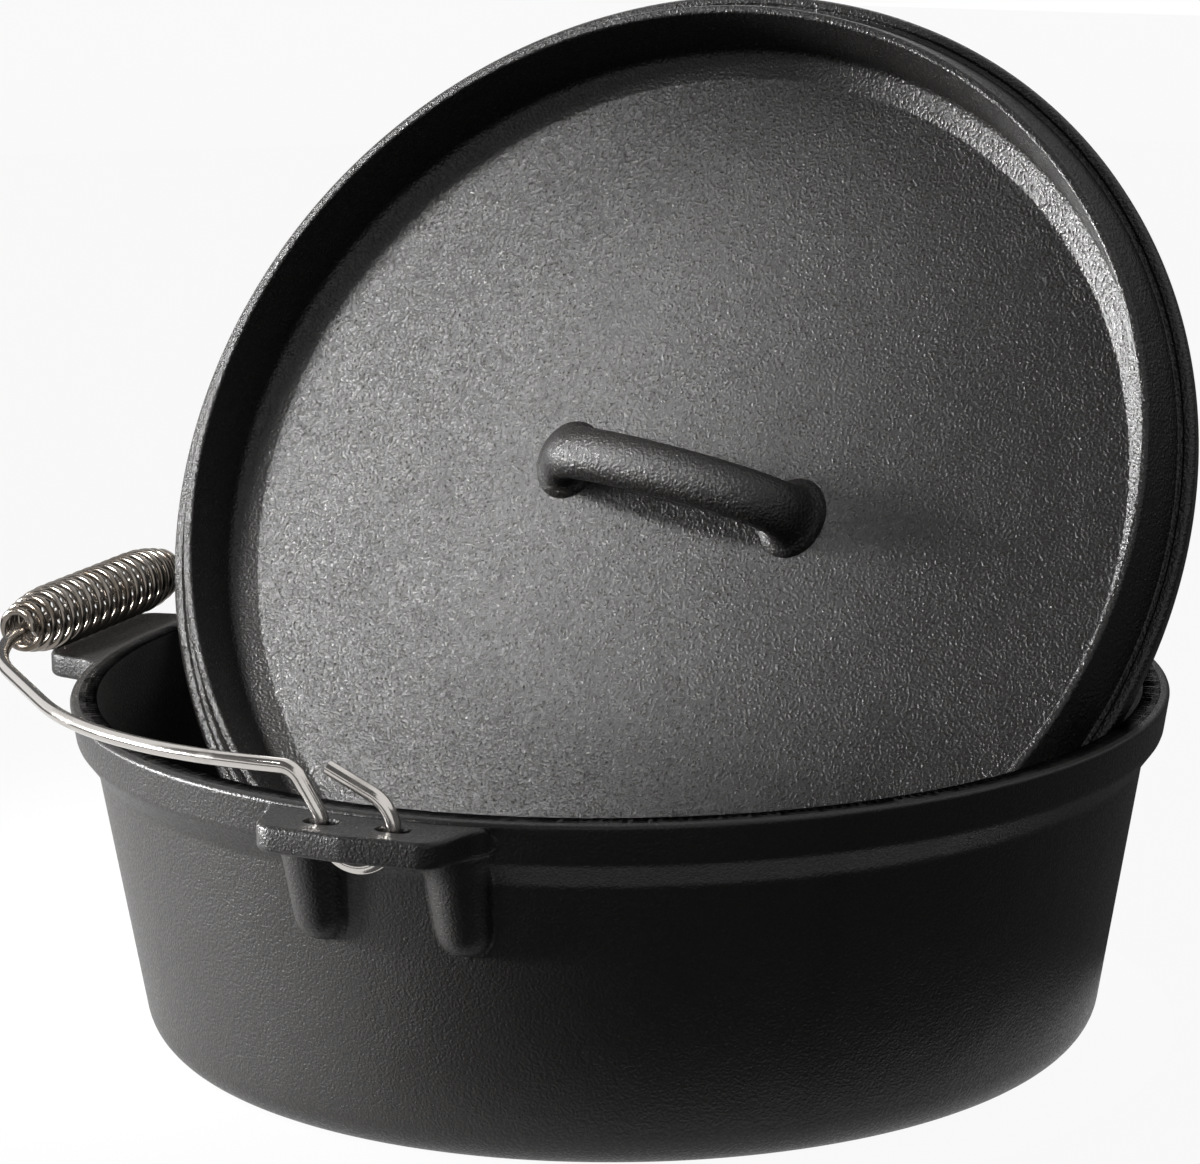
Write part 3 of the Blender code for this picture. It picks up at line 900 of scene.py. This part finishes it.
def wire(name, points, radius, sides, material, body, slot, node):
    """A round wire along the points, as a mesh, standing in for one node."""
    curve = bpy.data.curves.new(name, "CURVE")
    curve.dimensions = "3D"
    curve.bevel_depth = radius
    curve.bevel_resolution = sides
    curve.use_fill_caps = True
    spline = curve.splines.new("POLY")
    spline.points.add(len(points) - 1)
    for knot, point in zip(spline.points, points):
        knot.co = (*point, 1.0)
    drawn = bpy.data.objects.new(name, curve)
    scene.collection.objects.link(drawn)
    bpy.context.view_layer.update()
    mesh = bpy.data.meshes.new_from_object(drawn)
    bpy.data.objects.remove(drawn)
    mesh.name = name
    mesh.materials.clear()
    mesh.materials.append(material)
    mesh.shade_smooth()
    mesh.set_sharp_from_angle(angle=CAP_SHARP)
    made = bpy.data.objects.new(name, mesh)
    scene.collection.objects.link(made)
    dress(made, body, slot, node)


# %% [markdown]
# ## The bail
#
# One length of wire: a tail, a ring through the ear, a leg that sweeps round the rim,
# the straight middle, and the same again. Half of it is drawn as two flat outlines, the
# ring seen from the front and the sweep seen from above, and joined in space.

# %% Bail
HINGE_DROP = 0.0016
HINGE_Z = POT_HEIGHT - HINGE_DROP
TAIL_ANGLE = math.radians(65)
TAIL_LENGTH = 0.0135
FOOT_KINK = 0.0020
LEG_LEAN = 0.0075
LEG_BEND = 0.0060
LEG_Z = 0.0125 + HINGE_DROP
KNEE = (0.0745, RING_Y + 0.0021, 0.1330)
CORNER = (0.0008, 0.0630, 0.1000)
GRIP_RADIUS = 0.0096
GRIP_OUT = RIM_RADIUS + TAB["reach"] - 0.0028
GRIP_GAP = 0.0003
GRIP_Z = plate_top + GRIP_GAP + GRIP_RADIUS
SWEEP_STEP = 0.0025


def bail_points():
    ring = arc(Vector((0, 0)), RING_RADIUS, TAIL_ANGLE, -math.pi)
    tail = ring[0] + Vector((-math.sin(TAIL_ANGLE), math.cos(TAIL_ANGLE))) * TAIL_LENGTH
    turn_x = -RING_RADIUS - LEG_LEAN
    foot = rounded([
        (-RING_RADIUS, 0, 0),
        (-RING_RADIUS, FOOT_KINK, LEG_BEND),
        (turn_x, LEG_Z, LEG_BEND),
        (turn_x - 2 * LEG_BEND, LEG_Z, 0),
    ])
    side = [tail, *ring, *foot[1:]]
    half = [Vector((p.x, -RING_Y, HINGE_Z + p.y)) for p in side]
    middle_x = -GRIP_OUT - CORNER[0]
    sweep = resampled(rounded([
        (-RING_RADIUS, -RING_Y, 0),
        (-KNEE[0], -KNEE[1], KNEE[2]),
        (middle_x, -CORNER[1], CORNER[2]),
        (middle_x, 0, 0),
    ]), SWEEP_STEP)
    start = side[-1].x
    low_z, high_z = HINGE_Z + LEG_Z, GRIP_Z
    for x, y in sweep[sweep[:, 0] < start - WIRE_RADIUS]:
        share = (start - x) / (start + GRIP_OUT)
        half.append(Vector((x, y, low_z + (high_z - low_z) * share)))
    return half + [Vector((p.x, -p.y, p.z)) for p in reversed(half[:-1])]


wire("bail_wire", bail_points(), WIRE_RADIUS, 6, bail_steel, "bail", "wire", "bail")

# %% [markdown]
# ## The coil grip
#
# A spring keeps a hand off the hot bail. It is a barrel: full in the middle, drawn in
# towards both ends, where its turns lie closer. A helix whose radius and pitch both
# change along its length gives that with one formula.

# %% Coil grip
GRIP_LENGTH = 0.0900
GRIP_END_RADIUS = 0.0060
GRIP_TAPER = 0.0210
COIL_WIRE = 0.0012
COIL_TURNS = 18
COIL_POINTS = 48
END_CROWDING = 0.20


def coil_points():
    count = COIL_TURNS * COIL_POINTS
    share = np.linspace(-1, 1, count + 1)
    half = GRIP_LENGTH / 2 - COIL_WIRE
    crowded = share + END_CROWDING * (np.sin(share * math.pi / 2) - share)
    along = half * crowded
    from_end = np.minimum((GRIP_LENGTH / 2 - np.abs(along)) / GRIP_TAPER, 1)
    swell = np.sin(from_end * math.pi / 2)
    radius = GRIP_END_RADIUS + (GRIP_RADIUS - GRIP_END_RADIUS) * swell - COIL_WIRE
    turn = 2 * math.pi * np.arange(count + 1) / COIL_POINTS
    points = np.column_stack([
        -GRIP_OUT + radius * np.cos(turn), along, GRIP_Z + radius * np.sin(turn),
    ])
    return [Vector(point) for point in points]


wire(
    "grip_coil", coil_points(), COIL_WIRE, 5, spring_steel, "grip", "spring", "grip_spring",
)

# %% [markdown]
# ## Paper floor
#
# The background is white paper. The floor is white to the camera and to reflections by
# way of Light Path, which leaves the light on the iron alone: dark iron needs little
# light, or it turns grey. A small share stays plain paper and keeps the pot's shadow.

# %% Floor
FLOOR_SIZE = 6.0
FLOOR_DROP = 0.0002
FLOOR_TONE = 0.75
PAPER_SHARE = 0.94

paper = Recipe(
    "paper floor", Base_Color=(FLOOR_TONE, FLOOR_TONE, FLOOR_TONE, 1),
    Roughness=1.0, Specular_IOR_Level=0.0,
)
glow = paper.node("ShaderNodeEmission")
seen = paper.seen_by("Camera", "Glossy", "Transmission")
floor_mesh = bpy.data.meshes.new("floor")
half = FLOOR_SIZE / 2
floor_mesh.from_pydata(
    [(-half, -half, 0), (half, -half, 0), (half, half, 0), (-half, half, 0)],
    [], [(0, 1, 2, 3)],
)
floor_mesh.materials.append(paper.show(seen * PAPER_SHARE, glow))
floor = bpy.data.objects.new("floor", floor_mesh)
floor.location.z = -FLOOR_DROP
scene.collection.objects.link(floor)
floor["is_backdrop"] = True
print(f"floor: {FLOOR_SIZE} m square")

# %% [markdown]
# ## Black cloth
#
# Steel and glossy iron show their surroundings, and in an all-white room they look like
# plastic. Photographers hang black cloth where such a surface should stay dark. This
# cloth is a little sheer, so that the dark parts keep some form, and the camera looks
# right through it, so that the paper stays white from every side.

# %% Cloth
CLOTH_TONE = 0.01
CLOTH_SHEER = 0.12

cloth = Recipe(
    "black curtain", Base_Color=(CLOTH_TONE, CLOTH_TONE, CLOTH_TONE, 1),
    Roughness=1.0, Specular_IOR_Level=0.0,
)
clear = cloth.node("ShaderNodeBsdfTransparent")
sheer = cloth.seen_by("Camera") * (1 - CLOTH_SHEER) + CLOTH_SHEER
black_cloth = cloth.show(sheer, clear)
print(f"{black_cloth.name}: {CLOTH_SHEER:.0%} sheer")


def cloth_sheet(name, rows):
    """A black cloth through rows of points."""
    rows = np.asarray(rows)
    count, size, _ = rows.shape
    grid = np.arange(count * size).reshape(count, size)
    faces = np.stack([grid[:-1, :-1], grid[:-1, 1:], grid[1:, 1:], grid[1:, :-1]], axis=-1)
    mesh = bpy.data.meshes.new(name)
    mesh.from_pydata(rows.reshape(-1, 3).tolist(), [], faces.reshape(-1, 4).tolist())
    mesh.materials.append(black_cloth)
    sheet = bpy.data.objects.new(name, mesh)
    scene.collection.objects.link(sheet)
    sheet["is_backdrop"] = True
    print("cloth sheet:", name)
    return sheet


# %% [markdown]
# ## Where the cloth hangs and lies
#
# A curtain hangs from beside the camera round to the right and behind, and cloth lies
# on the floor in front and on the right, close to the pot. On the left it starts half a
# metre away: the paper stays bare near the pot, and the sloping wall mirrors that paper,
# which brightens the left of the pot.

# %% Curtain and floor cloth
CURTAIN_RADIUS = 2.1
CURTAIN_HEIGHT = 1.3
CURTAIN_START = math.radians(22)
CURTAIN_END = math.radians(205)
FRONT_START = math.radians(-33)
FRONT_NEAR = 0.158
LEFT_START = math.radians(-165)
LEFT_NEAR = 0.52
CLOTH_DROP = 0.0001
CLOTH_POINTS = 24


def sweep_round(start, end):
    """Directions over the floor, as angles from the camera's own, growing to its right."""
    facing = math.atan2(back.y, back.x)
    angles = np.linspace(facing + start, facing + end, CLOTH_POINTS)
    return np.column_stack([np.cos(angles), np.sin(angles)])


def floor_cloth(name, start, end, near):
    """A cloth on the floor between two directions, from `near` out to the curtain."""
    ways = sweep_round(start, end)
    rows = [spread_out(ways * reach, 0.0) for reach in (near, CURTAIN_RADIUS)]
    cloth_sheet(name, rows).location.z = -CLOTH_DROP


hem = sweep_round(CURTAIN_START, CURTAIN_END) * CURTAIN_RADIUS
cloth_sheet("curtain", [spread_out(hem, height) for height in (0.0, CURTAIN_HEIGHT)])
floor_cloth("cloth in front and on the right", FRONT_START, CURTAIN_END, FRONT_NEAR)
floor_cloth("cloth on the left", LEFT_START, FRONT_START, LEFT_NEAR)

# %% [markdown]
# ## A backing for the key lamp
#
# The lid's field mirrors the place where the key lamp stands, and round the lamp it
# would mirror a white wall. A square of the same cloth hangs behind the lamp, so that
# the lamp alone draws the sheen on the field.

# %% Backing behind the key lamp
BACKING_WAY = Vector((-0.40, -0.62, 0.67)).normalized()
BACKING_DISTANCE = 1.8
BACKING_HALF = 1.2

backing = cloth_sheet("backing behind the key lamp", [
    [(-BACKING_HALF, -BACKING_HALF, 0), (BACKING_HALF, -BACKING_HALF, 0)],
    [(-BACKING_HALF, BACKING_HALF, 0), (BACKING_HALF, BACKING_HALF, 0)],
])
backing.location = AIM + BACKING_WAY * BACKING_DISTANCE
backing.rotation_mode = "QUATERNION"
backing.rotation_quaternion = BACKING_WAY.to_track_quat("Z", "Y")

# %% [markdown]
# ## World
#
# The world is the studio's walls: full white to the camera and in reflections, as the
# floor is, and a faint even light on everything else.

# %% World
WORLD_LIGHT = 0.25

scene.world = bpy.data.worlds.new("white studio")
studio = Recipe("white studio", world=scene.world, Color=(1, 1, 1, 1))
seen = studio.seen_by("Camera", "Glossy", "Transmission")
studio.finish(Strength=seen * (1 - WORLD_LIGHT) + WORLD_LIGHT)
print("world:", scene.world.name)

# %% [markdown]
# ## Lamps
#
# Four soft lamps, each for one thing. The key is where the lid's field mirrors it to the
# camera, and its narrow spread keeps the sheen on the left. The side strip lights the
# left of the pot. The long edge strip lies along the line that the band round the field
# mirrors, and so it is tilted. The back strip draws the rims.

# %% Lamps
def softbox(name, place, target, size, power, spread=180, tilt=0):
    """A soft lamp that looks at a target. Spread and tilt are in degrees: a grid on the
    lamp narrows its spread, and a tilt turns a long lamp about its own beam."""
    lamp_data = bpy.data.lights.new(name, "AREA")
    lamp_data.shape = "RECTANGLE"
    lamp_data.size, lamp_data.size_y = size
    lamp_data.energy = power
    lamp_data.spread = math.radians(spread)
    lamp = bpy.data.objects.new(name, lamp_data)
    lamp.location = place
    towards = Vector(target) - Vector(place)
    lamp.rotation_mode = "QUATERNION"
    turn = Quaternion((0, 0, 1), math.radians(tilt))
    lamp.rotation_quaternion = towards.to_track_quat("-Z", "Y") @ turn
    scene.collection.objects.link(lamp)
    print(f"lamp: {name}, {power} W")


softbox(
    "key softbox", (-0.42, -0.50, 0.66), target=(-0.19, -0.03, 0.16),
    size=(0.25, 0.35), power=0.95, spread=17,
)
softbox(
    "side strip", (-0.60, -0.33, 0.10), target=(-0.15, -0.11, 0.035),
    size=(0.30, 0.14), power=0.45, spread=20,
)
softbox(
    "edge strip", (-0.84, -0.15, 0.34), target=(0.13, 0.04, 0.22),
    size=(0.60, 0.14), power=1.4, spread=20, tilt=-33,
)
softbox(
    "back strip", (-0.30, 0.75, 0.60), target=(0.0, 0.0, 0.15),
    size=(0.50, 0.20), power=1.0,
)

# %% [markdown]
# ## Sizes
#
# The box of the solids and the box of the dressed part are both printed, side by side.
# The dressed part has to stay inside the solids' box.

# %% Sizes
visual_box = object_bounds()
boxes = {"cad": cad_box, "visual": visual_box}
sizes = {name: [list(corner) for corner in box] for name, box in boxes.items()}
for name, corners in sizes.items():
    print(name, [[round(value * 1000, 1) for value in corner] for corner in corners])
